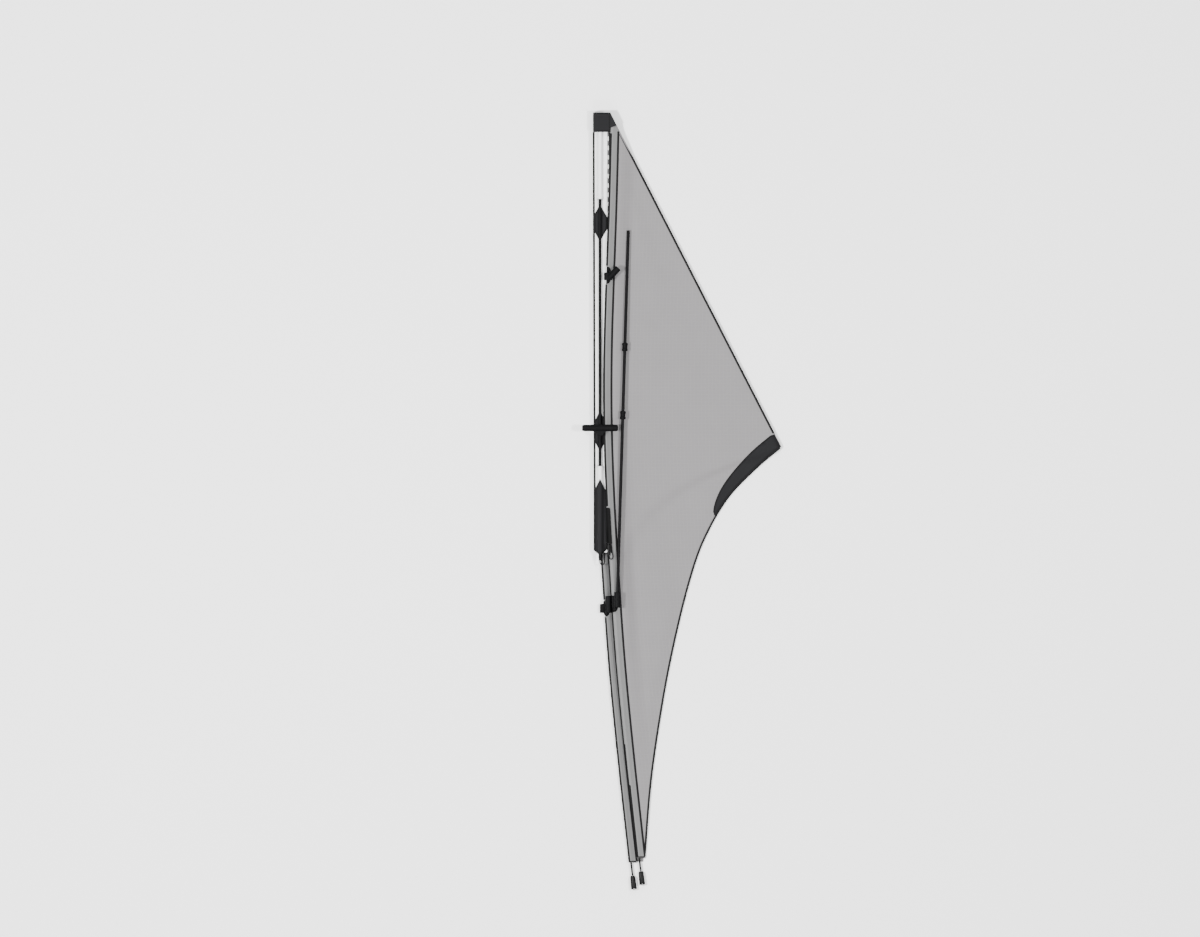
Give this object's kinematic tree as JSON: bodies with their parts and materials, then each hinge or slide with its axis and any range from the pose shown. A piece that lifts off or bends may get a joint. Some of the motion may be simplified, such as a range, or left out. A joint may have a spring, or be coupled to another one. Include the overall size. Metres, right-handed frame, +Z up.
{
  "type": "folded kite sail with its frame",
  "caption": "Delta kite folded in half and laid flat: grey sail, light centre strip, leading-edge sleeves, black spine, spreader, centre T and fittings.",
  "frame": {"origin": "middle of the kite's outline on the surface it lies on, without the tip cords and caps", "axes": "+Y from the tips to the nose, +X from the spine to the folded corner, +Z up"},
  "size_m": [0.4393, 1.7094, 0.0416],
  "materials": {
    "sail_nylon": "coated ripstop nylon, slight sheen",
    "light_polyester": "woven polyester tape, matt",
    "sleeve_polyester": "woven polyester sailcloth, matt",
    "dark_reinforcement": "heavy woven nylon, matt",
    "black_webbing": "woven webbing",
    "carbon_rod": "wrapped carbon tube, satin",
    "moulded_rubber": "moulded, matt",
    "nylon_cap": "moulded nylon",
    "elastic_cord": "braided elastic cord"
  },
  "bodies": {
    "root": {"sail_left": "sail_nylon", "sail_right": "sail_nylon", "centre_strip": "light_polyester", "sleeve_left": "sleeve_polyester", "sleeve_right": "sleeve_polyester", "nose_patch": "dark_reinforcement", "nose_flap": "dark_reinforcement", "diamond_upper": "dark_reinforcement", "diamond_lower": "dark_reinforcement", "tail_patch": "dark_reinforcement", "edge_patch": "dark_reinforcement", "tension_strap": "black_webbing", "spine": "carbon_rod", "leading_rod_left": "carbon_rod", "leading_rod_right": "carbon_rod", "lower_spreader": "carbon_rod", "centre_t": "moulded_rubber", "upper_fitting_right": "moulded_rubber", "lower_fitting_right": "moulded_rubber", "lower_fitting_left": "moulded_rubber", "standoff_clip_upper": "moulded_rubber", "standoff_clip_lower": "moulded_rubber", "spine_cap": "nylon_cap", "strap_pin": "nylon_cap", "tip_cap_left": "nylon_cap", "tip_cap_right": "nylon_cap", "tail_loop": "elastic_cord", "strap_loop": "elastic_cord", "tip_cord_left": "elastic_cord", "tip_cord_right": "elastic_cord"}
  },
  "joints": []
}
